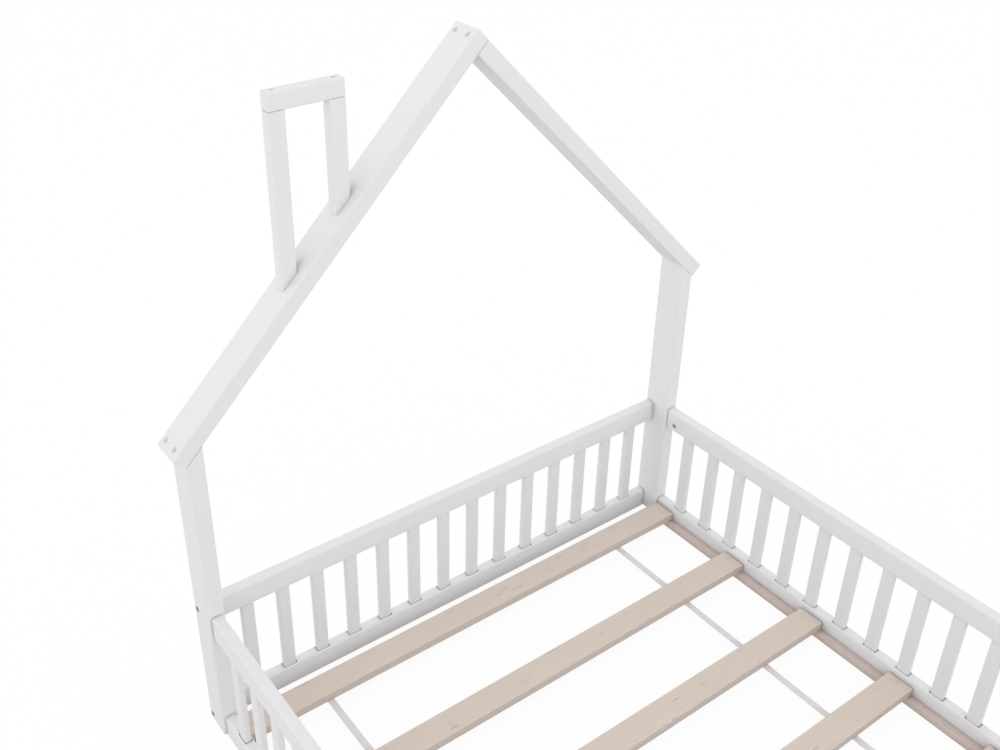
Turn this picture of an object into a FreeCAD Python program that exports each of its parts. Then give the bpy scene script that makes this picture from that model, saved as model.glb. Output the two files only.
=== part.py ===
import FreeCAD, Part
import math
import os

Vector = FreeCAD.Vector

# Driving dimensions, in millimetres and degrees

# Overall frame: a mattress well on the floor with a house-shaped arch at the head end
bed_width = 1066.0  # over the outer side faces of the posts
clear_length = 1846.0  # between the head posts and the foot posts
eave_height = 581.0  # floor to the lower corner of a rafter's eave end
roof_pitch = 45.0  # slope of the rafters

# Posts and rafters
post_thickness = 30.0  # across the bed
post_depth = 58.0  # along the bed, and the depth of the rafters too
post_round = 4.0
rafter_thickness = 28.0  # square to the slope
rafter_round = 2.0

# Fence rails, lying on the floor and along the top of the fence
fence_height = 276.0
rail_height = 44.0
rail_thickness = 20.0
rail_round = 5.0  # upper long edges
rail_under_round = 3.5  # lower long edges
rail_end_round = 3.0  # all round the ends, where they meet the posts
end_rail_setback = 2.0  # outer end face of a post to the outer face of a head or foot rail

# Spindles, glued into mortises in the rails
end_spindle_count = 14
end_spindle_margin = 44.1  # post to the first spindle of the head or foot fence
side_spindle_count = 26
side_spindle_margin = 46.3  # post to the first spindle of a side fence
spindle_width = 24.0
spindle_setback = 4.2  # rail face to spindle face, on both sides
spindle_round = 3.0
tenon_length = 10.0
mortise_gap = 1.0  # across a rail and above a tenon, which stands on the floor of its mortise
mortise_end_gap = 1.4  # along a rail, beside a tenon
mortise_round = 0.5  # upright corners of a mortise, cut nearly square
glue_gap = 0.15  # round a dowel

# Slats on their cleats, with the two webbing straps stapled below them
slat_count = 10
slat_width = 50.0
slat_thickness = 17.0
slat_round = 1.0
slat_end_gap = 2.0  # slat end to side rail
slat_pitch = 197.3  # middle to middle, as the straps hold them
slat_post_gap = 0.4  # first slat to the head posts
cleat_width = 15.0
cleat_height = 15.0
cleat_round = 1.5
cleat_end_gap = 1.0  # cleat end to post
strap_width = 13.0
strap_thickness = 1.5
strap_inset = 158.0  # slat end to the strap's centre line

# Chimney on the left rafter
chimney_offset = 190.0  # outer face of the left post to the chimney's left face
chimney_width = 124.0
chimney_leg_length = 277.5  # left side of the left leg, from the rafter to the cap
chimney_stock_width = 27.0
chimney_cap_height = 28.3
chimney_stock_depth = 20.0
chimney_round = 2.0
chimney_foot_round = 0.8  # round the slanting feet of the legs

# Connector bolts and barrel nuts that hold the rails to the posts
bolt_diameter = 6.0
bolt_head_diameter = 11.0
bolt_head_height = 4.0
bolt_socket = 4.0  # across the flats
bolt_recess = 1.0  # post face to bolt head
bolt_offset = 9.0  # rail's centre line to a bolt or a dowel, so that crossing bolts pass each other
low_bolt_rise = 1.5  # rail's centre line to the bolt in a bottom side rail, its nut hidden by a slat
bolt_overrun = 5.0  # past the middle of the barrel nut
nut_diameter = 10.0
nut_cover = 3.0  # rail face to each end of a barrel nut
nut_setback = 22.0  # rail end to the middle of the barrel nut
nut_slot_width = 1.6
nut_slot_depth = 1.2
hole_clearance = 0.15  # radial, round every bolt, nut and screw
head_round = 0.5  # rim of every bolt and screw head
socket_share = 0.7  # depth of a hex socket, as a share of the head

# Dowels that keep the rails from turning on their bolts
dowel_diameter = 8.0
dowel_in_post = 8.0
dowel_in_rail = 22.0

# Rafter screws, two side by side at each end of the roof
rafter_screw_diameter = 6.0
rafter_screw_head = 9.6
rafter_screw_head_height = 3.0
rafter_screw_socket = 4.0
rafter_screw_recess = 0.8
rafter_screw_spacing = 31.0
eave_screw_inset = 15.0  # eave end to the screws, along the slope
slanted_screw_cover = 6.5  # wood past the tip of a screw that runs slanting into a post or a leg

# Chimney screws, down through the cap and up through the rafter
chimney_screw_diameter = 4.0
chimney_screw_head = 7.6
chimney_screw_head_height = 2.5
chimney_screw_socket = 3.0
cap_screw_recess = 0.6
leg_screw_recess = 10.0
cap_screw_bite = 15.0  # into the leg

# Cleat screws, each hidden below a slat
cleat_screw_diameter = 3.5
cleat_screw_head = 7.0
cleat_screw_head_height = 2.2
cleat_screw_socket = 2.5
cleat_screw_recess = 0.5
cleat_screw_bite = 12.0  # into the side rail
cleat_screw_count = 4  # in each cleat

# Staples through the straps
staple_crown = 10.0
staple_wire = 1.2
staple_bite = 8.0  # into the slat
staple_clearance = 0.05

# Places worked out from the driving dimensions

half_width = bed_width / 2
post_plane = clear_length / 2  # mattress side of the posts
half_length = post_plane + post_depth
post_inner = half_width - post_thickness
side_rail_middle = half_width - post_thickness / 2
side_rail_inner = side_rail_middle - rail_thickness / 2
end_rail_middle = half_length - end_rail_setback - rail_thickness / 2
rafter_middle = post_plane + post_depth / 2
slat_half_length = side_rail_inner - slat_end_gap
slat_top = cleat_height + slat_thickness
strap_middle = slat_half_length - strap_inset
top_rail_base = fence_height - rail_height
spindle_thickness = rail_thickness - 2 * spindle_setback

sides = {"left": -1, "right": 1}
ends = {"head": 1, "foot": -1}
rail_bases = {"bottom": 0.0, "top": top_rail_base}

slope = math.radians(roof_pitch)
up_left_roof = Vector(math.cos(slope), 0, math.sin(slope))
into_left_roof = Vector(math.sin(slope), 0, -math.cos(slope))
into_right_roof = Vector(-math.sin(slope), 0, -math.cos(slope))
rafter_rise = rafter_thickness / math.cos(slope)  # thickness of a rafter measured upright
ridge_height = eave_height + half_width * math.tan(slope) + rafter_rise


# Shape helpers

def block(x_pair, y_pair, z_pair):
    """Box between two values on each axis, given in either order."""
    low = [min(pair) for pair in (x_pair, y_pair, z_pair)]
    high = [max(pair) for pair in (x_pair, y_pair, z_pair)]
    sizes = [top - bottom for bottom, top in zip(low, high)]
    return Part.makeBox(*sizes, Vector(*low))


def around(middle, width):
    """Two values that lie half a width either side of a middle."""
    return middle - width / 2, middle + width / 2


def upright_prism(outline, y_pair):
    """Prism along Y over an outline of X and Z points."""
    points = [Vector(x, min(y_pair), z) for x, z in outline]
    face = Part.Face(Part.makePolygon(points + points[:1]))
    return face.extrude(Vector(0, max(y_pair) - min(y_pair), 0))


def edges_along(shape, direction, wanted=None):
    """Straight edges of a shape that run along a direction."""
    found = []
    angle_tolerance = 1e-6
    for edge in shape.Edges:
        run = edge.Vertexes[1].Point - edge.Vertexes[0].Point
        aligned = run.cross(direction).Length < angle_tolerance * run.Length
        if aligned and (wanted is None or wanted(edge.CenterOfMass)):
            found.append(edge)
    return found


def end_edges(bar, along):
    """Edges round the two flat ends of a bar."""
    faces = [face for face in bar.Faces if len(face.Edges) > 4 and abs(face.normalAt(0, 0).dot(along)) > 0.5]
    return [edge for face in faces for edge in face.Edges]


def rod(start, direction, length, diameter):
    """Round bar from a point along a direction."""
    return Part.makeCylinder(diameter / 2, length, start, direction)


def hexagon(start, direction, across_flats, depth):
    """Six-sided prism for a fastener's socket."""
    turn = FreeCAD.Rotation(Vector(0, 0, 1), direction)
    corner_radius = across_flats / math.sqrt(3)
    points = []
    for corner in range(7):
        angle = math.radians(60 * corner)
        point = Vector(corner_radius * math.cos(angle), corner_radius * math.sin(angle), 0)
        points.append(start + turn.multVec(point))
    return Part.Face(Part.makePolygon(points)).extrude(direction * depth)


def fastener(mouth, direction, recess, length, shank, head, head_height, socket):
    """Flat-headed screw or bolt with a hex socket, its head below the mouth of its hole."""
    top = mouth + direction * recess
    seat = top + direction * head_height
    cap = rod(top, direction, head_height, head)
    rim = [edge for edge in cap.Edges if edge.Closed and edge.CenterOfMass.isEqual(top, head_round)]
    cap = cap.makeFillet(head_round, rim)
    solid = cap.fuse(rod(seat, direction, length, shank))
    return solid.cut(hexagon(top, direction, socket, head_height * socket_share))


def fastener_hole(mouth, direction, recess, length, shank, head, head_height):
    """Counterbored hole that the fastener of the same sizes sits in."""
    seat_depth = recess + head_height
    wide = rod(mouth, direction, seat_depth, head + 2 * hole_clearance)
    narrow = rod(mouth, direction, seat_depth + length, shank + 2 * hole_clearance)
    return wide.fuse(narrow)


def drilled(timber, holes):
    """Timber with every hole that reaches it cut out."""
    reach = timber.BoundBox
    near = [hole for hole in holes if reach.intersect(hole.BoundBox)]
    if not near:
        return timber
    return timber.cut(near)


def spread(clear, count, width, margin):
    """Middles of pieces spread evenly over a clear span, with a margin at each end."""
    reach = clear / 2 - margin - width / 2
    step = 2 * reach / (count - 1)
    return [index * step - reach for index in range(count)]


# Timbers of the frame

def post(side, end):
    """Corner post: a head post is cut to seat below its rafter, a foot post ends at the fence."""
    outer = sides[side] * half_width
    inner = sides[side] * post_inner
    y_pair = (ends[end] * post_plane, ends[end] * half_length)
    outer_top = eave_height if end == "head" else fence_height
    inner_top = eave_height + post_thickness * math.tan(slope) if end == "head" else fence_height
    outline = [(outer, 0), (inner, 0), (inner, inner_top), (outer, outer_top)]
    solid = upright_prism(outline, y_pair)
    rounded = edges_along(solid, Vector(0, 0, 1))
    for direction in (Vector(1, 0, 0), Vector(0, 1, 0)):
        rounded += edges_along(solid, direction, lambda middle: end == "foot" or middle.z < post_round)
    return solid.makeFillet(post_round, rounded)


def rail(x_pair, y_pair, base, along):
    """Fence rail with well-rounded upper edges, eased lower ones and eased ends."""
    solid = block(x_pair, y_pair, (base, base + rail_height))
    middle_height = base + rail_height / 2
    upper = edges_along(solid, along, lambda middle: middle.z > middle_height)
    solid = solid.makeFillet(rail_round, upper)
    lower = edges_along(solid, along, lambda middle: middle.z < base + rail_under_round)
    solid = solid.makeFillet(rail_under_round, lower)
    return solid.makeFillet(rail_end_round, end_edges(solid, along))


def end_rail(end, level):
    """Rail between the inner side faces of two posts."""
    y_pair = around(ends[end] * end_rail_middle, rail_thickness)
    return rail((-post_inner, post_inner), y_pair, rail_bases[level], Vector(1, 0, 0))


def side_rail(side, level):
    """Rail between a head post and a foot post, in line with their middles."""
    x_pair = around(sides[side] * side_rail_middle, rail_thickness)
    return rail(x_pair, (-post_plane, post_plane), rail_bases[level], Vector(0, 1, 0))


def roof_underside(x):
    """Height of the left rafter's underside."""
    return eave_height + (x + half_width) * math.tan(slope)


def roof_top(x):
    """Height of the left rafter's upper face."""
    return roof_underside(x) + rafter_rise


butt_x = rafter_thickness / (2 * math.sin(slope))  # right rafter's upper face at the left one's underside
butt_point = (butt_x, roof_underside(butt_x))
rafter_depths = (post_plane, half_length)


def rafter(outline, direction):
    """Roof timber, flush with the posts, with its long edges eased."""
    solid = upright_prism(outline, rafter_depths)
    return solid.makeFillet(rafter_round, edges_along(solid, direction))


def left_rafter():
    """Runs over the ridge, its upper end flush with the right rafter's upper face."""
    eave = (-half_width, eave_height)
    eave_top = (eave[0] - rafter_thickness * math.sin(slope), eave[1] + rafter_thickness * math.cos(slope))
    return rafter([eave, eave_top, (0, ridge_height), butt_point], up_left_roof)


def right_rafter():
    """Butts against the underside of the left rafter."""
    eave = (half_width, eave_height)
    eave_top = (eave[0] + rafter_thickness * math.sin(slope), eave[1] + rafter_thickness * math.cos(slope))
    outline = [eave, eave_top, butt_point, (0, roof_underside(0))]
    return rafter(outline, Vector(-up_left_roof.x, 0, up_left_roof.z))


# Chimney

chimney_left = chimney_offset - half_width
chimney_right = chimney_left + chimney_width
cap_base = roof_top(chimney_left) + chimney_leg_length
cap_top = cap_base + chimney_cap_height
chimney_depths = around(rafter_middle, chimney_stock_depth)
chimney_leg_lefts = {"left": chimney_left, "right": chimney_right - chimney_stock_width}


def chimney_leg(side):
    """Upright cut to stand on the slope of the left rafter."""
    left = chimney_leg_lefts[side]
    right = left + chimney_stock_width
    outline = [(left, roof_top(left)), (right, roof_top(right)), (right, cap_base), (left, cap_base)]
    solid = upright_prism(outline, chimney_depths)
    solid = solid.makeFillet(chimney_round, edges_along(solid, Vector(0, 0, 1)))
    foot = min(solid.Faces, key=lambda face: face.CenterOfMass.z)
    return solid.makeFillet(chimney_foot_round, foot.Edges)


def chimney_cap():
    """Bar that lies on both legs."""
    solid = block((chimney_left, chimney_right), chimney_depths, (cap_base, cap_top))
    return solid.makeFillet(chimney_round, solid.Edges)


# Spindles

def upright_bar(x_pair, y_pair, top, corner_round):
    """Bar that stands on the floor of a mortise in a bottom rail."""
    solid = block(x_pair, y_pair, (rail_height - tenon_length, top))
    return solid.makeFillet(corner_round, edges_along(solid, Vector(0, 0, 1)))


def spindle(x_middle, y_middle, x_size, y_size):
    """Upright bar with a tenon in each rail."""
    top = top_rail_base + tenon_length
    return upright_bar(around(x_middle, x_size), around(y_middle, y_size), top, spindle_round)


def mortise_pair(x_middle, y_middle, x_size, y_size):
    """Both mortises of a spindle, as one bar that reaches into both rails."""
    top = top_rail_base + tenon_length + mortise_gap
    return upright_bar(around(x_middle, x_size), around(y_middle, y_size), top, mortise_round)


# Sizes along a rail and across it
spindle_section = (spindle_width, spindle_thickness)
mortise_section = (spindle_width + 2 * mortise_end_gap, spindle_thickness + 2 * mortise_gap)


def end_spindles(end, piece=spindle, section=spindle_section):
    """Spindles of the head or foot fence, or their mortises."""
    places = spread(2 * post_inner, end_spindle_count, spindle_width, end_spindle_margin)
    y_middle = ends[end] * end_rail_middle
    along, across = section
    return [piece(x, y_middle, along, across) for x in places]


def side_spindles(side, piece=spindle, section=spindle_section):
    """Spindles of a side fence, or their mortises."""
    places = spread(clear_length, side_spindle_count, spindle_width, side_spindle_margin)
    x_middle = sides[side] * side_rail_middle
    along, across = section
    return [piece(x_middle, y, across, along) for y in places]


# Slats, cleats, straps and staples

slat_first = post_plane - slat_post_gap - slat_width / 2
slat_middles = [slat_first - index * slat_pitch for index in range(slat_count)]  # from the head end


def slat(y_middle):
    """Loose cross slat that lies on both cleats."""
    x_pair = (-slat_half_length, slat_half_length)
    solid = block(x_pair, around(y_middle, slat_width), (cleat_height, slat_top))
    return solid.makeFillet(slat_round, edges_along(solid, Vector(1, 0, 0)))


def cleat(side):
    """Ledger strip on the inner face of a bottom side rail."""
    x_pair = (sides[side] * side_rail_inner, sides[side] * (side_rail_inner - cleat_width))
    half_run = post_plane - cleat_end_gap
    solid = block(x_pair, (-half_run, half_run), (0, cleat_height))
    return solid.makeFillet(cleat_round, edges_along(solid, Vector(0, 1, 0)))


def strap(side):
    """Flat webbing below the slats, from the first slat to the last."""
    x_pair = around(sides[side] * strap_middle, strap_width)
    y_pair = (slat_middles[0] + slat_width / 2, slat_middles[-1] - slat_width / 2)
    return block(x_pair, y_pair, (cleat_height - strap_thickness, cleat_height))


def staple(x_middle, y_middle, gap=0.0):
    """Wire staple up through a strap; with a gap, the slot that takes its legs."""
    crown_top = cleat_height - strap_thickness
    y_pair = around(y_middle, staple_wire + 2 * gap)
    crown = block(around(x_middle, staple_crown), y_pair, (crown_top - staple_wire, crown_top))
    legs = []
    for leg_side in sides.values():
        leg_middle = x_middle + leg_side * (staple_crown - staple_wire) / 2
        x_pair = around(leg_middle, staple_wire + 2 * gap)
        legs.append(block(x_pair, y_pair, (crown_top - staple_wire, cleat_height + staple_bite + gap)))
    return crown.fuse(legs)


# Fasteners, each with the hole that takes it

def corner_joints(kind):
    """Post face, direction into the rail, and shifts to bolt and dowel, for every rail end."""
    joints = []
    for side_sign in sides.values():
        for end_sign in ends.values():
            for level, base in rail_bases.items():
                rise = bolt_offset if (kind == "end") == (level == "top") else -bolt_offset
                to_dowel = Vector(0, 0, -rise)
                if (kind, level) == ("side", "bottom"):
                    rise = low_bolt_rise
                to_bolt = Vector(0, 0, rise)
                middle = base + rail_height / 2
                if kind == "end":
                    face = Vector(side_sign * half_width, end_sign * end_rail_middle, middle)
                    direction = Vector(-side_sign, 0, 0)
                else:
                    face = Vector(side_sign * side_rail_middle, end_sign * half_length, middle)
                    direction = Vector(0, -end_sign, 0)
                joints.append((face, direction, to_bolt, to_dowel))
    return joints


post_sizes = {"end": post_thickness, "side": post_depth}  # wood between a bolt's mouth and the rail
bolt_sizes = (bolt_diameter, bolt_head_diameter, bolt_head_height)
nut_length = rail_thickness - 2 * nut_cover


def bolt_length(kind):
    """Shank length from the seat in the post to just past the barrel nut."""
    return post_sizes[kind] - bolt_recess - bolt_head_height + nut_setback + bolt_overrun


def connector_bolts(kind):
    """Bolts through the posts into the ends of the rails."""
    length = bolt_length(kind)
    places = [(face + to_bolt, direction) for face, direction, to_bolt, _ in corner_joints(kind)]
    return [fastener(*place, bolt_recess, length, *bolt_sizes, bolt_socket) for place in places]


def connector_bolt_holes(kind):
    """Holes for the connector bolts, through post and rail."""
    length = bolt_length(kind)
    places = [(face + to_bolt, direction) for face, direction, to_bolt, _ in corner_joints(kind)]
    return [fastener_hole(*place, bolt_recess, length, *bolt_sizes) for place in places]


def nut_places(kind):
    """Middle of each barrel nut, the way its hole opens, and its bolt's direction."""
    places = []
    for face, direction, to_bolt, _ in corner_joints(kind):
        middle = face + to_bolt + direction * (post_sizes[kind] + nut_setback)
        if kind == "end":
            opening = Vector(0, math.copysign(1, face.y), 0)
        else:
            opening = Vector(-math.copysign(1, face.x), 0, 0)
        places.append((middle, opening, direction))
    return places


def barrel_nuts(kind):
    """Cross nuts in the rails, with a slot for turning them and a hole for the bolt."""
    nuts = []
    for middle, opening, direction in nut_places(kind):
        body = rod(middle - opening * nut_length / 2, opening, nut_length, nut_diameter)
        bolt_way = rod(middle - direction * nut_diameter, direction, 2 * nut_diameter, bolt_diameter)
        slot_middle = middle + opening * (nut_length - nut_slot_depth) / 2
        across = opening.cross(direction)
        reach = opening * nut_slot_depth + direction * 2 * nut_diameter + across * nut_slot_width
        slot = block(*[around(value, size) for value, size in zip(slot_middle, reach)])
        nuts.append(body.cut([bolt_way, slot]))
    return nuts


def nut_holes(kind):
    """Blind holes for the barrel nuts: end rails from outside the bed, side rails from inside."""
    holes = []
    for middle, opening, _ in nut_places(kind):
        start = middle - opening * (nut_length / 2)
        length = nut_length + nut_cover
        holes.append(rod(start, opening, length, nut_diameter + 2 * hole_clearance))
    return holes


def dowels(kind, gap=0.0):
    """Dowels beside the bolts; with a gap, the holes that take them."""
    solids = []
    for face, direction, _, to_dowel in corner_joints(kind):
        rail_end = face + to_dowel + direction * post_sizes[kind]
        start = rail_end - direction * (dowel_in_post + gap)
        length = dowel_in_post + dowel_in_rail + 2 * gap
        solids.append(rod(start, direction, length, dowel_diameter + 2 * gap))
    return solids


rafter_screw_sizes = (rafter_screw_diameter, rafter_screw_head, rafter_screw_head_height)
eave_screw_run = post_thickness - eave_screw_inset * math.cos(slope)  # from the screw's entry across the post
rafter_screw_bite = eave_screw_run / math.sin(slope) - slanted_screw_cover
rafter_screw_length = rafter_thickness - rafter_screw_recess - rafter_screw_head_height + rafter_screw_bite


def rafter_screw_places():
    """Mouths on the upper faces of the rafters: two at each eave and two at the ridge."""
    ridge_inset = rafter_thickness / 2
    ridge = Vector(0, rafter_middle, ridge_height) - up_left_roof * ridge_inset
    places = []
    for y_shift in around(0, rafter_screw_spacing):
        shift = Vector(0, y_shift, 0)
        places.append((ridge + shift, into_left_roof))
        for side_sign, inward in ((-1, into_left_roof), (1, into_right_roof)):
            up_slope = Vector(-side_sign * up_left_roof.x, 0, up_left_roof.z)
            eave = Vector(side_sign * half_width, rafter_middle, eave_height) - inward * rafter_thickness
            places.append((eave + up_slope * eave_screw_inset + shift, inward))
    return places


def rafter_screws():
    """Screws through the rafters into the posts and into each other."""
    sizes = (rafter_screw_recess, rafter_screw_length, *rafter_screw_sizes, rafter_screw_socket)
    return [fastener(mouth, inward, *sizes) for mouth, inward in rafter_screw_places()]


def rafter_screw_holes():
    """Counterbored holes for the rafter screws."""
    sizes = (rafter_screw_recess, rafter_screw_length, *rafter_screw_sizes)
    return [fastener_hole(mouth, inward, *sizes) for mouth, inward in rafter_screw_places()]


chimney_screw_sizes = (chimney_screw_diameter, chimney_screw_head, chimney_screw_head_height)
leg_screw_bite = chimney_stock_width / 2 / math.sin(slope) - slanted_screw_cover


def chimney_screw_places(where):
    """Mouth, direction, recess and shank length of the screws in the cap or below the legs."""
    places = []
    for left in chimney_leg_lefts.values():
        middle = left + chimney_stock_width / 2
        if where == "cap":
            mouth = Vector(middle, rafter_middle, cap_top)
            direction = Vector(0, 0, -1)
            recess = cap_screw_recess
            reach = chimney_cap_height + cap_screw_bite
        else:
            direction = into_left_roof * -1
            mouth = Vector(middle, rafter_middle, roof_top(middle)) + into_left_roof * rafter_thickness
            recess = leg_screw_recess
            reach = rafter_thickness + leg_screw_bite
        length = reach - recess - chimney_screw_head_height
        places.append((mouth, direction, recess, length))
    return places


def chimney_screws(where):
    """Screws that hold the chimney together or to the rafter."""
    places = chimney_screw_places(where)
    return [fastener(*place, *chimney_screw_sizes, chimney_screw_socket) for place in places]


def chimney_screw_holes(where):
    """Holes for the chimney screws."""
    return [fastener_hole(*place, *chimney_screw_sizes) for place in chimney_screw_places(where)]


cleat_screw_sizes = (cleat_screw_diameter, cleat_screw_head, cleat_screw_head_height)


def cleat_screw_places():
    """Mouth, direction, recess and shank length of every cleat screw."""
    length = cleat_width - cleat_screw_recess - cleat_screw_head_height + cleat_screw_bite
    slat_step = (slat_count - 1) / (cleat_screw_count - 1)
    screwed_slats = [round(number * slat_step) for number in range(cleat_screw_count)]
    places = []
    for side_sign in sides.values():
        for index in screwed_slats:
            mouth = Vector(side_sign * (side_rail_inner - cleat_width), slat_middles[index], cleat_height / 2)
            places.append((mouth, Vector(side_sign, 0, 0), cleat_screw_recess, length))
    return places


def cleat_screws():
    """Screws through the cleats into the bottom side rails."""
    return [fastener(*place, *cleat_screw_sizes, cleat_screw_socket) for place in cleat_screw_places()]


def cleat_screw_holes():
    """Holes for the cleat screws."""
    return [fastener_hole(*place, *cleat_screw_sizes) for place in cleat_screw_places()]


def staples(gap=0.0):
    """One staple through each strap into each slat."""
    middles = [side_sign * strap_middle for side_sign in sides.values()]
    return [staple(x, y, gap) for x in middles for y in slat_middles]


# Assembly: each timber is drilled by whatever passes through it

frame_holes = [hole for end in ends for hole in end_spindles(end, mortise_pair, mortise_section)]
frame_holes += [hole for side in sides for hole in side_spindles(side, mortise_pair, mortise_section)]
for kind in post_sizes:
    frame_holes += connector_bolt_holes(kind) + nut_holes(kind) + dowels(kind, glue_gap)
frame_holes += rafter_screw_holes() + chimney_screw_holes("cap") + chimney_screw_holes("leg")
frame_holes += cleat_screw_holes()
staple_slots = staples(staple_clearance)

nodes = {}
for side in sides:
    for end in ends:
        nodes[f"{side}_{end}_post"] = drilled(post(side, end), frame_holes)
for level in rail_bases:
    for end in ends:
        nodes[f"{end}_{level}_rail"] = drilled(end_rail(end, level), frame_holes)
    for side in sides:
        nodes[f"{side}_{level}_rail"] = drilled(side_rail(side, level), frame_holes)
nodes["left_rafter"] = drilled(left_rafter(), frame_holes)
nodes["right_rafter"] = drilled(right_rafter(), frame_holes)
for side in chimney_leg_lefts:
    nodes[f"chimney_{side}_leg"] = drilled(chimney_leg(side), frame_holes)
nodes["chimney_cap"] = drilled(chimney_cap(), frame_holes)
for number, solid in enumerate(end_spindles("head"), start=1):
    nodes[f"head_spindle_{number:02d}"] = solid
for number, y_middle in enumerate(slat_middles, start=1):
    nodes[f"slat_{number:02d}"] = drilled(slat(y_middle), staple_slots)
for side in sides:
    nodes[f"{side}_cleat"] = drilled(cleat(side), frame_holes)
    nodes[f"{side}_slat_strap"] = drilled(strap(side), staple_slots)

groups = {
    "foot_spindles": end_spindles("foot"),
    "left_spindles": side_spindles("left"),
    "right_spindles": side_spindles("right"),
    "end_rail_bolts": connector_bolts("end"),
    "side_rail_bolts": connector_bolts("side"),
    "barrel_nuts": barrel_nuts("end") + barrel_nuts("side"),
    "rail_dowels": dowels("end") + dowels("side"),
    "rafter_screws": rafter_screws(),
    "chimney_cap_screws": chimney_screws("cap"),
    "chimney_leg_screws": chimney_screws("leg"),
    "cleat_screws": cleat_screws(),
    "slat_staples": staples(),
}
for name, solids in groups.items():
    nodes[name] = Part.makeCompound(solids)

os.makedirs("parts", exist_ok=True)
for name, shape in nodes.items():
    shape.exportStep(f"parts/{name}.step")

whole = Part.makeCompound(list(nodes.values())).BoundBox
print(f"{len(nodes)} nodes, {whole.XLength:.1f} x {whole.YLength:.1f} x {whole.ZLength:.1f} mm")
for name, shape in nodes.items():
    print(f"{name}: {len(shape.Solids)} solid(s), {shape.Volume / 1000:.1f} cm3, valid {shape.isValid()}")
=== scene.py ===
import math

import bpy
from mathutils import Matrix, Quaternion, Vector


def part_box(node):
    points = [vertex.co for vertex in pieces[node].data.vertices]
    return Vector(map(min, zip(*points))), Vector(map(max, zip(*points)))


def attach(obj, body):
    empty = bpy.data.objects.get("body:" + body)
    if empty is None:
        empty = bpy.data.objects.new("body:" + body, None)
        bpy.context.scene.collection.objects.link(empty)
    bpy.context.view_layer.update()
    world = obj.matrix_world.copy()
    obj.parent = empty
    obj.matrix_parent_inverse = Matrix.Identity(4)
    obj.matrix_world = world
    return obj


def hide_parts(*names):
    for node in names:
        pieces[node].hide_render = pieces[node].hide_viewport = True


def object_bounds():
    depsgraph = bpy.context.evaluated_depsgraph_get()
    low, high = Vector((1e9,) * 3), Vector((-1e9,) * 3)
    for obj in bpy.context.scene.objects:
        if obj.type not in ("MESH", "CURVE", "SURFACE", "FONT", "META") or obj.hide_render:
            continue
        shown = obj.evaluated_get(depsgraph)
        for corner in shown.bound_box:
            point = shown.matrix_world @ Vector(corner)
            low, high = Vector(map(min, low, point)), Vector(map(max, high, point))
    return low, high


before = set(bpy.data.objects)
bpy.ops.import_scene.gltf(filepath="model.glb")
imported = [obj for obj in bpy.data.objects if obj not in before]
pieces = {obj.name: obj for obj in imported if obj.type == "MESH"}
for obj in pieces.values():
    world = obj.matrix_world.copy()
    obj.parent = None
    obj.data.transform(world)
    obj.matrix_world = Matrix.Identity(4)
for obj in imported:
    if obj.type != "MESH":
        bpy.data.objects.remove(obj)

cad_low, cad_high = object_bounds()
scene = bpy.context.scene

# Camera of the photograph, from its vanishing points and edges
photo_width = 1000.0  # pixels
photo_height = 750.0
focal_length = 1115.7  # pixels
optical_centre = (440.9, 316.5)  # pixels
camera_place = Vector((-0.9862, -0.3849, 1.5973))
camera_azimuth = math.radians(35.016)  # turned right of the bed's length
camera_dip = math.radians(29.622)
camera_roll = math.radians(0.2345)  # the picture's right side turned down
sensor_width = 36.0  # mm

# Studio light
sky_zenith = 0.62
sky_horizon = 1.65
lamp_power = 22.0  # W
lamp_size = 6.0
lamp_height = 5.0  # above the bed's middle
floor_size = 60.0
floor_near = 1.1  # distance from the bed's middle at which the floor starts to brighten
floor_far = 3.2  # and at which it is brightest
floor_bounce_near = 0.62  # brightness of the floor round the bed, which lights it from below
floor_bounce_far = 0.86  # and well away from it
floor_bounce_glow = 0.52  # share of that brightness that the bed's shadow leaves
floor_white = 1.0  # brightness of the floor that the camera sees
floor_white_glow = 0.92  # share of that brightness that the bed's shadow leaves

# Webbing straps
strap_sag = 0.0006  # hang midway between two slats
strap_ribs = 9
strap_rib_height = 0.00018
strap_edge_round = 0.0004
strap_edge_steps = 3
strap_steps = 361
strap_outline_steps = 120

# Wood grain, along X
ring_lean = 0.7  # shift of the rings through a board's thickness
ring_contrast = 2.2
drift_scale = 16.0  # slow sway of the rings
drift_stretch = 0.07
fibre_stretch = 0.025
fleck_scale = 240.0
fleck_stretch = 0.13
fleck_start = 0.76  # noise value at which a fleck begins
fleck_full = 0.84

# Tone, stipple and gloss of a finish
tone_scale = 5.0
stipple_scale = 620.0
gloss_scale = 26.0

# Edges: their mask, and the spots on them rubbed thin
edge_start = 0.01  # bend at which an edge begins
edge_full = 0.16
edge_samples = 6
rub_scale = 38.0
rub_start = 0.56
rub_full = 0.72

# Painted shade in the joints
joint_shade_darkest = 0.3  # openness at which a joint is darkest
joint_clear = 0.95
joint_samples = 8

# Painted shade on the upright sides of the boards
side_shade_full_level = 0.3  # upright part of the normal up to which a side takes the full painted shade
side_shade_none_level = 0.8

# White paint
paint_ring_width = 0.007
paint_waviness = 4.0
paint_fibre_scale = 520.0
paint_rub_radius = 0.004
paint_ring_share = 0.18
paint_fibre_share = 0.10
paint_rub_share = 0.30
# Reach and share of the painted shade in the corners where pieces meet
paint_shade_reach = 0.02
paint_shade_share = 0.2
paint_shine = 0.2  # share of a full specular layer
paint_roughness = 0.48
paint_gloss_range = 0.12
paint_edge_roughness = 0.06
paint_fibre_relief = 0.5
paint_ring_relief = 0.6
paint_relief_depth = 0.0002
paint_relief_strength = 0.35

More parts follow.
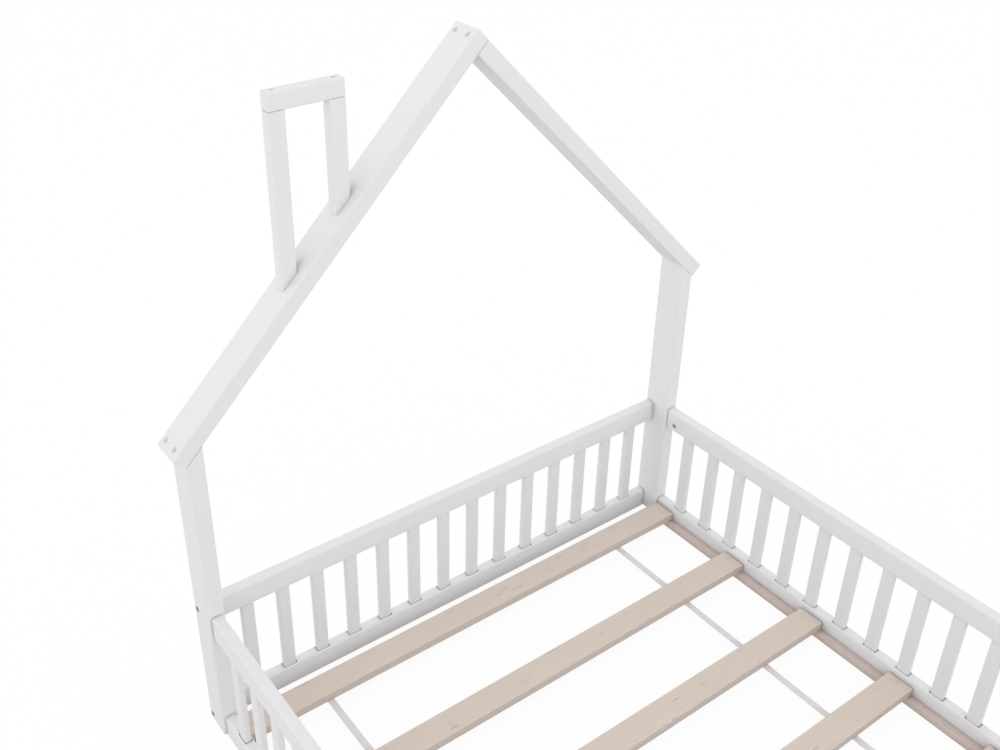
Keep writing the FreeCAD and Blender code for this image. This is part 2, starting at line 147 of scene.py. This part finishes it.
# Bare wood
wood_fibre_scale = 650.0
wood_edge_radius = 0.002
wood_tone_share = 0.45
wood_ring_share = 0.16
wood_fibre_share = 0.35
wood_fibre_start = 0.45
wood_fibre_full = 0.8
wood_fleck_share = 0.4
# Share of the painted shade on a board's upright sides
wood_side_shade_share = 0.8
# Share of the painted highlight along a board's edges
wood_edge_highlight_share = 0.4
# Reach and share of the painted shade in the corners where pieces meet
wood_shade_reach = 0.012
wood_shade_share = 0.35
wood_ring_gloss = -0.08
wood_gloss_range = 0.1
wood_ring_relief = 0.5
wood_fleck_relief = -1.0
wood_relief_depth = 0.0003
wood_relief_strength = 0.5

# Steel of the fasteners
steel_rub_radius = 0.0006
steel_mottle_scale = 420.0
steel_edge_share = 0.5
steel_mottle_roughness = 0.25
steel_relief_depth = 0.00005
steel_relief_strength = 0.4

# Woven tape
pick_pitch = 0.0022  # spacing of the cross threads
fuzz_scale = 2600.0
soil_scale = 14.0
weave_shade = 0.6  # share of the shade tone between the yarns
weave_light = -0.5  # change of that share on top of a yarn
fuzz_share = 0.3
soil_share = 0.2
tape_roughness = 0.72
tape_fuzz_roughness = 0.15
tape_sheen = 0.15
tape_fuzz_relief = 0.3
tape_relief_depth = 0.0004
tape_relief_strength = 0.7


def swatch(red, green, blue):
    """Colour given as it looks on a screen, 0 to 255, turned into light."""
    levels = [value / 255 for value in (red, green, blue)]
    light = [((v + 0.055) / 1.055) ** 2.4 if v > 0.04045 else v / 12.92 for v in levels]
    return (*light, 1.0)


def grey(brightness):
    """Neutral colour of a brightness."""
    return (brightness, brightness, brightness, 1.0)


# Colours of the finishes
paint_white = swatch(231, 231, 233)
paint_hollow = swatch(228, 227, 229)
paint_thin = swatch(221, 217, 213)
# Painted shade colours, which darken the corners where pieces meet
painted_shade_grey = swatch(120, 117, 116)
painted_shade_brown = swatch(112, 98, 88)
slat_early = swatch(221, 208, 197)
slat_late = swatch(204, 187, 174)
slat_fleck = swatch(159, 140, 124)
# Painted highlight along the slats' edges
slat_edge_highlight = swatch(223, 211, 200)
# Painted shade on the slats' upright sides
slat_side_shade = swatch(201, 187, 177)
cleat_early = swatch(215, 200, 194)
cleat_late = swatch(195, 179, 172)
cleat_fleck = swatch(146, 128, 116)
# Painted highlight along the cleats' edges
cleat_edge_highlight = swatch(218, 206, 198)
# Painted shade on the cleats' upright sides
cleat_side_shade = swatch(213, 198, 191)
beech_early = swatch(214, 184, 148)
beech_late = swatch(190, 156, 118)
zinc_bright = swatch(241, 241, 243)
zinc_dull = swatch(230, 230, 232)
steel_bright = swatch(205, 205, 207)
steel_dull = swatch(180, 180, 182)
oxide_dark = swatch(48, 48, 50)
oxide_worn = swatch(86, 85, 84)
tape_light = swatch(241, 239, 240)
tape_shade = swatch(221, 219, 221)


# Node helpers

def place(tree, kind, settings=None, **sockets):
    """Node of a kind, with its settings, and its inputs joined or set by name (spaces as underscores)."""
    node = tree.nodes.new(kind)
    for name, value in (settings or {}).items():
        setattr(node, name, value)
    for name, value in sockets.items():
        fill(tree, node.inputs[name.replace("_", " ")], value)
    return node


def fill(tree, socket, value):
    """Joins a socket to another one, or sets its value."""
    if isinstance(value, bpy.types.NodeSocket):
        tree.links.new(value, socket)
    else:
        socket.default_value = value


def computed(tree, operation, *values):
    """Output of a Math node over its values, which are sockets or numbers."""
    node = place(tree, "ShaderNodeMath", {"operation": operation})
    for socket, value in zip(node.inputs, values):
        fill(tree, socket, value)
    return node.outputs["Value"]


def times(tree, value, factor):
    """Value times a factor."""
    return computed(tree, "MULTIPLY", value, factor)


def stepped(tree, value, low, high, way="SMOOTHSTEP"):
    """Value spread from 0 at low to 1 at high, and held there."""
    settings = {"clamp": True, "interpolation_type": way}
    node = place(tree, "ShaderNodeMapRange", settings, Value=value, From_Min=low, From_Max=high)
    return node.outputs["Result"]


def blended(tree, share, first, second):
    """Colour between two colours."""
    node = place(tree, "ShaderNodeMix", {"data_type": "RGBA"})
    fill(tree, node.inputs[0], share)
    fill(tree, node.inputs[6], first)
    fill(tree, node.inputs[7], second)
    return node.outputs[2]


def noise(tree, where, scale, detail=2.0, roughness=0.5):
    """Soft random value at a place."""
    sockets = {"Vector": where, "Scale": scale, "Detail": detail, "Roughness": roughness}
    return place(tree, "ShaderNodeTexNoise", None, **sockets).outputs["Fac"]


def stretched(tree, where, along):
    """Place squeezed along X, so that what is read there runs out along the grain."""
    node = place(tree, "ShaderNodeMapping", None, Vector=where, Scale=(along, 1.0, 1.0))
    return node.outputs["Vector"]


def axes_of(tree, vector):
    """X, Y and Z of a vector."""
    node = tree.nodes.new("ShaderNodeSeparateXYZ")
    tree.links.new(vector, node.inputs[0])
    return node.outputs


def effect_group(name, inputs, outputs):
    """Empty shader group with its named sockets, and its two end nodes."""
    tree = bpy.data.node_groups.new(name, "ShaderNodeTree")
    for label, kind in inputs:
        tree.interface.new_socket(label, in_out="INPUT", socket_type=kind)
    for label in outputs:
        tree.interface.new_socket(label, in_out="OUTPUT", socket_type="NodeSocketFloat")
    start = tree.nodes.new("NodeGroupInput")
    end = tree.nodes.new("NodeGroupOutput")
    return tree, start.outputs, end.inputs


def use(tree, group, **sockets):
    """Group placed in a material, with its inputs by name."""
    return place(tree, "ShaderNodeGroup", {"node_tree": group}, **sockets).outputs


# Effects that several finishes share

def grain_effect():
    """Growth rings, fibre lines and short dark flecks that run along X."""
    inputs = [
        ("Place", "NodeSocketVector"),
        ("Ring Width", "NodeSocketFloat"),
        ("Waviness", "NodeSocketFloat"),
        ("Fibre Scale", "NodeSocketFloat"),
    ]
    tree, given, result = effect_group("wood_grain", inputs, ["Rings", "Fibre", "Flecks"])
    spot = axes_of(tree, given["Place"])
    across = computed(tree, "ADD", spot["Y"], times(tree, spot["Z"], ring_lean))
    turns = computed(tree, "DIVIDE", across, given["Ring Width"])
    drift = noise(tree, stretched(tree, given["Place"], drift_stretch), drift_scale)
    sway = times(tree, computed(tree, "SUBTRACT", drift, 0.5), given["Waviness"])
    phase = times(tree, computed(tree, "ADD", turns, sway), 2 * math.pi)
    wave = computed(tree, "MULTIPLY_ADD", computed(tree, "SINE", phase), 0.5, 0.5)
    tree.links.new(computed(tree, "POWER", wave, ring_contrast), result["Rings"])
    fibre = noise(tree, stretched(tree, given["Place"], fibre_stretch), given["Fibre Scale"])
    tree.links.new(fibre, result["Fibre"])
    fleck = noise(tree, stretched(tree, given["Place"], fleck_stretch), fleck_scale, detail=0.0)
    tree.links.new(stepped(tree, fleck, fleck_start, fleck_full), result["Flecks"])
    return tree


def paint_film_effect():
    """Slow drift of tone, fine stipple and patches of gloss, as in a coat of paint."""
    inputs = [("Place", "NodeSocketVector")]
    tree, given, result = effect_group("paint_film", inputs, ["Tone", "Stipple", "Gloss"])
    tree.links.new(noise(tree, given["Place"], tone_scale, detail=3.0), result["Tone"])
    tree.links.new(noise(tree, given["Place"], stipple_scale, detail=1.0), result["Stipple"])
    tree.links.new(noise(tree, given["Place"], gloss_scale), result["Gloss"])
    return tree


def edge_and_rub_effect():
    """Mask of the edges, and of the spots on them where the finish is rubbed thin."""
    inputs = [("Place", "NodeSocketVector"), ("Radius", "NodeSocketFloat")]
    tree, given, result = effect_group("edge_and_rub", inputs, ["Edge", "Worn"])
    rounded = place(tree, "ShaderNodeBevel", {"samples": edge_samples}, Radius=given["Radius"])
    flat = tree.nodes.new("ShaderNodeNewGeometry")
    turn = place(tree, "ShaderNodeVectorMath", {"operation": "DOT_PRODUCT"})
    tree.links.new(rounded.outputs["Normal"], turn.inputs[0])
    tree.links.new(flat.outputs["Normal"], turn.inputs[1])
    bend = computed(tree, "SUBTRACT", 1.0, turn.outputs["Value"])
    edge = stepped(tree, bend, edge_start, edge_full)
    tree.links.new(edge, result["Edge"])
    patches = noise(tree, given["Place"], rub_scale, detail=4.0, roughness=0.65)
    tree.links.new(times(tree, edge, stepped(tree, patches, rub_start, rub_full)), result["Worn"])
    return tree


def joint_painted_shade_effect():
    """Mask of painted shade in the narrow corners where one piece meets another."""
    inputs = [("Reach", "NodeSocketFloat")]
    tree, given, result = effect_group("joint_painted_shade", inputs, ["Seam"])
    settings = {"samples": joint_samples}
    openness = place(tree, "ShaderNodeAmbientOcclusion", settings, Distance=given["Reach"])
    clear = stepped(tree, openness.outputs["AO"], joint_shade_darkest, joint_clear)
    tree.links.new(computed(tree, "SUBTRACT", 1.0, clear), result["Seam"])
    return tree


def upright_side_shade_effect():
    """Mask of the upright sides of a board, which take a painted shade."""
    tree, _, result = effect_group("upright_side_shade", [], ["Sawn"])
    facing = axes_of(tree, tree.nodes.new("ShaderNodeNewGeometry").outputs["Normal"])
    planed = stepped(tree, computed(tree, "ABSOLUTE", facing["Z"]), side_shade_full_level, side_shade_none_level)
    tree.links.new(computed(tree, "SUBTRACT", 1.0, planed), result["Sawn"])
    return tree


grain = grain_effect()
paint_film = paint_film_effect()
edge_and_rub = edge_and_rub_effect()
joint_painted_shade = joint_painted_shade_effect()
upright_side_shade = upright_side_shade_effect()


# Finishes

def finish(name):
    """New material with its Principled shader."""
    material = bpy.data.materials.new(name)
    material.use_nodes = True
    tree = material.node_tree
    shader = tree.nodes["Principled BSDF"]
    where = tree.nodes.new("ShaderNodeTexCoord").outputs["Object"]
    return material, tree, shader, where


def turned(tree, where, about_y=0.0, about_z=0.0):
    """Place turned so that its X runs along a timber."""
    angles = (0.0, math.radians(about_y), math.radians(about_z))
    return place(tree, "ShaderNodeMapping", None, Vector=where, Rotation=angles).outputs["Vector"]


def bumped(tree, shader, height, depth, strength):
    """Height joined to the shader's normal through a Bump node."""
    node = place(tree, "ShaderNodeBump", None, Height=height, Distance=depth, Strength=strength)
    tree.links.new(node.outputs["Normal"], shader.inputs["Normal"])


def white_paint(name, **turn):
    """Satin white paint over pine: faint grain, roller stipple, edges rubbed a little thin."""
    material, tree, shader, where = finish(name)
    wood = use(tree, grain, Place=turned(tree, where, **turn), Ring_Width=paint_ring_width,
               Waviness=paint_waviness, Fibre_Scale=paint_fibre_scale)
    film = use(tree, paint_film, Place=where)
    edge_masks = use(tree, edge_and_rub, Place=where, Radius=paint_rub_radius)
    joint = use(tree, joint_painted_shade, Reach=paint_shade_reach)
    tone = blended(tree, film["Tone"], paint_white, paint_hollow)
    ringed = blended(tree, times(tree, wood["Rings"], paint_ring_share), tone, paint_hollow)
    fibred = blended(tree, times(tree, wood["Fibre"], paint_fibre_share), ringed, paint_thin)
    rubbed = blended(tree, times(tree, edge_masks["Worn"], paint_rub_share), fibred, paint_thin)
    # Painted shade: the colour turns towards grey in the narrow corners where pieces meet
    colour = blended(tree, times(tree, joint["Seam"], paint_shade_share), rubbed, painted_shade_grey)
    tree.links.new(colour, shader.inputs["Base Color"])
    shader.inputs["Specular IOR Level"].default_value = paint_shine
    sheen = computed(tree, "MULTIPLY_ADD", film["Gloss"], paint_gloss_range, paint_roughness)
    roughness = computed(tree, "MULTIPLY_ADD", edge_masks["Edge"], paint_edge_roughness, sheen)
    tree.links.new(roughness, shader.inputs["Roughness"])
    fibre_relief = computed(tree, "MULTIPLY_ADD", wood["Fibre"], paint_fibre_relief, film["Stipple"])
    relief = computed(tree, "MULTIPLY_ADD", wood["Rings"], paint_ring_relief, fibre_relief)
    bumped(tree, shader, relief, paint_relief_depth, paint_relief_strength)
    return material


def bare_wood(name, early, late, fleck, edge, side_shade_tone, ring_width, waviness, roughness, **turn):
    """Bare planed wood with rings, fibre and flecks, with a painted highlight along its edges, painted
    shade on its upright sides and painted shade in its joints.
    """
    material, tree, shader, where = finish(name)
    wood = use(tree, grain, Place=turned(tree, where, **turn), Ring_Width=ring_width,
               Waviness=waviness, Fibre_Scale=wood_fibre_scale)
    film = use(tree, paint_film, Place=where)
    edge_masks = use(tree, edge_and_rub, Place=where, Radius=wood_edge_radius)
    joint = use(tree, joint_painted_shade, Reach=wood_shade_reach)
    side = use(tree, upright_side_shade)
    lines = stepped(tree, wood["Fibre"], wood_fibre_start, wood_fibre_full)
    board = blended(tree, times(tree, film["Tone"], wood_tone_share), early, late)
    ringed = blended(tree, times(tree, wood["Rings"], wood_ring_share), board, late)
    fibred = blended(tree, times(tree, lines, wood_fibre_share), ringed, late)
    flecked = blended(tree, times(tree, wood["Flecks"], wood_fleck_share), fibred, fleck)
    # Painted shade: a board's upright sides are darker
    sided = blended(tree, times(tree, side["Sawn"], wood_side_shade_share), flecked, side_shade_tone)
    # Painted highlight: a board's edges are paler
    eased = blended(tree, times(tree, edge_masks["Edge"], wood_edge_highlight_share), sided, edge)
    # Painted shade: the colour turns towards brown in the narrow corners where pieces meet
    colour = blended(tree, times(tree, joint["Seam"], wood_shade_share), eased, painted_shade_brown)
    tree.links.new(colour, shader.inputs["Base Color"])
    dryness = computed(tree, "MULTIPLY_ADD", wood["Rings"], wood_ring_gloss, roughness)
    dulled = computed(tree, "MULTIPLY_ADD", film["Gloss"], wood_gloss_range, dryness)
    tree.links.new(dulled, shader.inputs["Roughness"])
    ring_relief = computed(tree, "MULTIPLY_ADD", wood["Rings"], wood_ring_relief, wood["Fibre"])
    relief = computed(tree, "MULTIPLY_ADD", wood["Flecks"], wood_fleck_relief, ring_relief)
    bumped(tree, shader, relief, wood_relief_depth, wood_relief_strength)
    return material


def fastener_steel(name, bright, dull, roughness):
    """Steel of a fastener: mottled, with a fine stipple and bright worn edges."""
    material, tree, shader, where = finish(name)
    film = use(tree, paint_film, Place=where)
    edge_masks = use(tree, edge_and_rub, Place=where, Radius=steel_rub_radius)
    mottle = noise(tree, where, steel_mottle_scale, detail=3.0)
    mottled = blended(tree, mottle, dull, bright)
    colour = blended(tree, times(tree, edge_masks["Edge"], steel_edge_share), mottled, bright)
    tree.links.new(colour, shader.inputs["Base Color"])
    shader.inputs["Metallic"].default_value = 1.0
    dulled = computed(tree, "MULTIPLY_ADD", mottle, steel_mottle_roughness, roughness)
    tree.links.new(dulled, shader.inputs["Roughness"])
    bumped(tree, shader, film["Stipple"], steel_relief_depth, steel_relief_strength)
    return material


def webbing_tape(centre_x, width):
    """Woven tape: lengthwise yarns crossed by fine picks, shaded between the yarns."""
    material, tree, shader, where = finish("webbing")
    spot = axes_of(tree, where)
    across = computed(tree, "SUBTRACT", computed(tree, "ABSOLUTE", spot["X"]), centre_x - width / 2)
    yarn = computed(tree, "SINE", times(tree, across, 2 * math.pi * strap_ribs / width))
    pick = computed(tree, "SINE", times(tree, spot["Y"], 2 * math.pi / pick_pitch))
    weave = computed(tree, "MULTIPLY_ADD", times(tree, yarn, pick), 0.5, 0.5)
    fuzz = noise(tree, where, fuzz_scale)
    soil = noise(tree, where, soil_scale, detail=3.0)
    shade = computed(tree, "MULTIPLY_ADD", weave, weave_light, weave_shade)
    threads = blended(tree, shade, tape_light, tape_shade)
    fuzzy = blended(tree, times(tree, fuzz, fuzz_share), threads, tape_shade)
    colour = blended(tree, times(tree, soil, soil_share), fuzzy, tape_shade)
    tree.links.new(colour, shader.inputs["Base Color"])
    roughness = computed(tree, "MULTIPLY_ADD", fuzz, tape_fuzz_roughness, tape_roughness)
    tree.links.new(roughness, shader.inputs["Roughness"])
    shader.inputs["Sheen Weight"].default_value = tape_sheen
    relief = computed(tree, "MULTIPLY_ADD", fuzz, tape_fuzz_relief, weave)
    bumped(tree, shader, relief, tape_relief_depth, tape_relief_strength)
    return material


paint_across = white_paint("white_paint_across")
paint_lengthwise = white_paint("white_paint_lengthwise", about_z=-90.0)
paint_upright = white_paint("white_paint_upright", about_y=90.0)
paint_left_slope = white_paint("white_paint_left_slope", about_y=45.0)
paint_right_slope = white_paint("white_paint_right_slope", about_y=-45.0)
slat_tones = (slat_early, slat_late, slat_fleck, slat_edge_highlight, slat_side_shade)
cleat_tones = (cleat_early, cleat_late, cleat_fleck, cleat_edge_highlight, cleat_side_shade)
# For beech, the late tone also serves as fleck and painted side shade, and the early tone as painted edge
# highlight
beech_tones = (beech_early, beech_late, beech_late, beech_early, beech_late)
slat_pine = bare_wood("slat_pine", *slat_tones, ring_width=0.011, waviness=3.0, roughness=0.58)
cleat_pine = bare_wood("cleat_pine", *cleat_tones, ring_width=0.006, waviness=4.0, roughness=0.66,
                       about_z=-90.0)
dowel_beech = bare_wood("dowel_beech", *beech_tones, ring_width=0.003, waviness=2.0, roughness=0.6)
zinc_plate = fastener_steel("zinc_plate", zinc_bright, zinc_dull, roughness=0.65)
plain_steel = fastener_steel("plain_steel", steel_bright, steel_dull, roughness=0.45)
black_oxide = fastener_steel("black_oxide", oxide_worn, oxide_dark, roughness=0.38)


def finish_of(node):
    """Finish of a CAD node, from its name."""
    if node.startswith("slat_") and node != "slat_staples":
        return slat_pine
    if node.endswith("_cleat"):
        return cleat_pine
    if node == "rail_dowels":
        return dowel_beech
    if node.endswith("_bolts"):
        return black_oxide
    if node.endswith("_nuts"):
        return plain_steel
    if node.endswith(("_screws", "_staples")):
        return zinc_plate
    if node == "left_rafter":
        return paint_left_slope
    if node == "right_rafter":
        return paint_right_slope
    if node.endswith(("_post", "_leg", "_spindles")) or "_spindle_" in node:
        return paint_upright
    if node.startswith(("left_", "right_")):
        return paint_lengthwise
    return paint_across


for node, piece in pieces.items():
    for slot in piece.material_slots:
        slot.material = finish_of(node)


# Webbing straps below the slats

def hanging_path(tree, given):
    """Path along a strap: level below each slat, and hanging a little between two."""
    half_length = computed(tree, "DIVIDE", given["Length"], 2.0)
    head_end = place(tree, "ShaderNodeCombineXYZ", None, Y=half_length).outputs[0]
    foot_end = place(tree, "ShaderNodeCombineXYZ", None, Y=times(tree, half_length, -1.0)).outputs[0]
    line = place(tree, "GeometryNodeCurvePrimitiveLine", None, Start=foot_end, End=head_end).outputs[0]
    path = place(tree, "GeometryNodeResampleCurve", None, Curve=line, Count=given["Path Steps"])
    spot = axes_of(tree, tree.nodes.new("GeometryNodeInputPosition").outputs[0])
    half_pitch = computed(tree, "DIVIDE", given["Slat Pitch"], 2.0)
    bay = computed(tree, "WRAP", spot["Y"], half_pitch, times(tree, half_pitch, -1.0))
    free = computed(tree, "SUBTRACT", half_pitch, computed(tree, "DIVIDE", given["Slat Width"], 2.0))
    reach = computed(tree, "DIVIDE", computed(tree, "ABSOLUTE", bay), free)
    share = computed(tree, "MINIMUM", reach, 1.0)
    hang = computed(tree, "SUBTRACT", times(tree, share, share), 1.0)
    drop = place(tree, "ShaderNodeCombineXYZ", None, Z=times(tree, hang, given["Sag"])).outputs[0]
    hung = place(tree, "GeometryNodeSetPosition", None, Geometry=path.outputs[0], Offset=drop)
    level = place(tree, "GeometryNodeSetCurveNormal", {"mode": "Z_UP"}, Curve=hung.outputs[0])
    return level.outputs[0]


def ribbed_outline(tree, given):
    """Outline of a strap's section: a thin bar with eased corners and ribs on both faces."""
    ribs = times(tree, given["Rib Height"], 2.0)
    core = computed(tree, "SUBTRACT", given["Thickness"], ribs)
    bar = place(tree, "GeometryNodeCurvePrimitiveQuadrilateral", None, Width=given["Width"], Height=core)
    eased = place(tree, "GeometryNodeFilletCurve", {"mode": "POLY"}, Curve=bar.outputs[0],
                  Radius=given["Edge Round"], Count=strap_edge_steps).outputs[0]
    fine = place(tree, "GeometryNodeResampleCurve", None, Curve=eased, Count=given["Outline Steps"])
    corner = axes_of(tree, tree.nodes.new("GeometryNodeInputPosition").outputs[0])
    reach = computed(tree, "ADD", computed(tree, "DIVIDE", corner["X"], given["Width"]), 0.5)
    turns = times(tree, times(tree, reach, given["Rib Count"]), math.pi)
    rib = times(tree, computed(tree, "ABSOLUTE", computed(tree, "SINE", turns)), given["Rib Height"])
    side = computed(tree, "SIGN", corner["Y"])
    swell = place(tree, "ShaderNodeCombineXYZ", None, Y=times(tree, rib, side)).outputs[0]
    ribbed = place(tree, "GeometryNodeSetPosition", None, Geometry=fine.outputs[0], Offset=swell)
    return ribbed.outputs[0]


def strap_nodes():
    """Geometry tree of one strap: a ribbed outline swept along a path that hangs between the slats."""
    tree = bpy.data.node_groups.new("webbing_strap", "GeometryNodeTree")
    sizes = ["Length", "Width", "Thickness", "Slat Pitch", "Slat Width", "Sag", "Rib Height", "Edge Round"]
    for label in sizes:
        tree.interface.new_socket(label, in_out="INPUT", socket_type="NodeSocketFloat")
    for label in ("Rib Count", "Path Steps", "Outline Steps"):
        tree.interface.new_socket(label, in_out="INPUT", socket_type="NodeSocketInt")
    tree.interface.new_socket("Tape", in_out="INPUT", socket_type="NodeSocketMaterial")
    tree.interface.new_socket("Strap", in_out="OUTPUT", socket_type="NodeSocketGeometry")
    given = tree.nodes.new("NodeGroupInput").outputs
    result = tree.nodes.new("NodeGroupOutput").inputs
    path = hanging_path(tree, given)
    outline = ribbed_outline(tree, given)
    swept = place(tree, "GeometryNodeCurveToMesh", None, Curve=path, Profile_Curve=outline, Fill_Caps=True)
    solid = place(tree, "GeometryNodeRealizeInstances", None, Geometry=swept.outputs[0]).outputs[0]
    taped = place(tree, "GeometryNodeSetMaterial", None, Geometry=solid, Material=given["Tape"])
    tree.links.new(taped.outputs[0], result["Strap"])
    return tree


def made_by_nodes(name, tree, values):
    """Plain mesh that a geometry tree makes from its named inputs."""
    holder = bpy.data.objects.new(name + "_holder", bpy.data.meshes.new(name + "_holder"))
    scene.collection.objects.link(holder)
    modifier = holder.modifiers.new("make", "NODES")
    modifier.node_group = tree
    for item in tree.interface.items_tree:
        if item.in_out == "INPUT":
            modifier[item.identifier] = values[item.name]
    bpy.context.view_layer.update()
    evaluated = holder.evaluated_get(bpy.context.evaluated_depsgraph_get())
    mesh = bpy.data.meshes.new_from_object(evaluated)
    bpy.data.objects.remove(holder)
    mesh.name = name
    return mesh


def slat_spacing():
    """Pitch and width of the slats, from the first two."""
    first_low, first_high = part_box("slat_01")
    second_low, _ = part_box("slat_02")
    return abs(first_low.y - second_low.y), first_high.y - first_low.y


slat_pitch, slat_width = slat_spacing()
strap_low, strap_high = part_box("right_slat_strap")
strap_size = strap_high - strap_low
webbing = webbing_tape((strap_low.x + strap_high.x) / 2, strap_size.x)
strap_values = {
    "Length": strap_size.y,
    "Width": strap_size.x,
    "Thickness": strap_size.z,
    "Slat Pitch": slat_pitch,
    "Slat Width": slat_width,
    "Sag": strap_sag,
    "Rib Height": strap_rib_height,
    "Edge Round": strap_edge_round,
    "Rib Count": strap_ribs,
    "Path Steps": strap_steps,
    "Outline Steps": strap_outline_steps,
    "Tape": webbing,
}
strap_tree = strap_nodes()
for side in ("left", "right"):
    node = f"{side}_slat_strap"
    low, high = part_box(node)
    mesh = made_by_nodes(f"{side}_webbing", strap_tree, strap_values)
    centre = (low + high) / 2
    for vertex in mesh.vertices:
        vertex.co += centre
    mesh.shade_smooth()
    strap = bpy.data.objects.new(f"{side}_webbing", mesh)
    scene.collection.objects.link(strap)
    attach(strap, "root")
    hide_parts(node)


# Floor, light and camera

def seen_directly(tree):
    """1 for what the camera, a mirror or a pane sees, and 0 for light that spreads."""
    path = tree.nodes.new("ShaderNodeLightPath").outputs
    seen = computed(tree, "MAXIMUM", path["Is Camera Ray"], path["Is Glossy Ray"])
    return computed(tree, "MAXIMUM", seen, path["Is Transmission Ray"])


def floor_finish():
    """White finish that lights the bed like a pale floor, dimmer near it, and keeps its shadow."""
    material = bpy.data.materials.new("pale_floor")
    material.use_nodes = True
    tree = material.node_tree
    tree.nodes.remove(tree.nodes["Principled BSDF"])
    seen = seen_directly(tree)
    spot = tree.nodes.new("ShaderNodeTexCoord").outputs["Object"]
    distance = place(tree, "ShaderNodeVectorMath", {"operation": "LENGTH"}, Vector=spot).outputs["Value"]
    away = stepped(tree, distance, floor_near, floor_far)
    bounce = blended(tree, away, grey(floor_bounce_near), grey(floor_bounce_far))
    shown = blended(tree, seen, bounce, grey(floor_white))
    matt = place(tree, "ShaderNodeBsdfDiffuse", None, Color=shown)
    glow = place(tree, "ShaderNodeEmission", None, Color=shown, Strength=1.0)
    glow_change = floor_white_glow - floor_bounce_glow
    glow_share = computed(tree, "MULTIPLY_ADD", seen, glow_change, floor_bounce_glow)
    mix = place(tree, "ShaderNodeMixShader", None, Fac=glow_share)
    tree.links.new(matt.outputs[0], mix.inputs[1])
    tree.links.new(glow.outputs[0], mix.inputs[2])
    tree.links.new(mix.outputs[0], tree.nodes["Material Output"].inputs["Surface"])
    return material


def pale_floor():
    """Wide floor below the bed."""
    mesh = bpy.data.meshes.new("floor")
    reach = floor_size / 2
    corners = [(-reach, -reach, 0), (reach, -reach, 0), (reach, reach, 0), (-reach, reach, 0)]
    mesh.from_pydata(corners, [], [(0, 1, 2, 3)])
    mesh.materials.append(floor_finish())
    floor = bpy.data.objects.new("floor", mesh)
    scene.collection.objects.link(floor)


def soft_sky():
    """White light from all round, strongest at the horizon, behind a white background."""
    world = bpy.data.worlds.new("soft_sky")
    world.use_nodes = True
    scene.world = world
    tree = world.node_tree
    seen = seen_directly(tree)
    direction = axes_of(tree, tree.nodes.new("ShaderNodeTexCoord").outputs["Generated"])
    height = stepped(tree, direction["Z"], 0.0, 1.0, way="LINEAR")
    light = computed(tree, "MULTIPLY_ADD", height, sky_zenith - sky_horizon, sky_horizon)
    backdrop = computed(tree, "MULTIPLY_ADD", computed(tree, "SUBTRACT", 1.0, light), seen, light)
    tree.links.new(backdrop, tree.nodes["Background"].inputs["Strength"])
    tree.nodes["Background"].inputs["Color"].default_value = grey(1.0)


def overhead_lamp():
    """Large soft lamp straight above the bed."""
    lamp = bpy.data.lights.new("overhead_lamp", "AREA")
    lamp.energy = lamp_power
    lamp.size = lamp_size
    holder = bpy.data.objects.new("overhead_lamp", lamp)
    holder.location = (cad_low + cad_high) / 2 + Vector((0.0, 0.0, lamp_height))
    scene.collection.objects.link(holder)


def photo_camera():
    """Camera at the photograph's place, with its optical centre shifted as the photograph is cropped."""
    lens = bpy.data.cameras.new("camera")
    lens.sensor_fit = "HORIZONTAL"
    lens.sensor_width = sensor_width
    lens.lens = focal_length / photo_width * sensor_width
    lens.shift_x = (photo_width / 2 - optical_centre[0]) / photo_width
    lens.shift_y = (optical_centre[1] - photo_height / 2) / photo_width
    camera = bpy.data.objects.new("camera", lens)
    level = math.cos(camera_dip)
    ahead_x = math.sin(camera_azimuth) * level
    ahead_y = math.cos(camera_azimuth) * level
    ahead = Vector((ahead_x, ahead_y, -math.sin(camera_dip)))
    camera.location = camera_place
    roll = Quaternion((0.0, 0.0, 1.0), -camera_roll)
    camera.rotation_euler = (ahead.to_track_quat("-Z", "Y") @ roll).to_euler()
    scene.collection.objects.link(camera)
    scene.camera = camera


pale_floor()
soft_sky()
overhead_lamp()
photo_camera()
scene.view_settings.view_transform = "Standard"
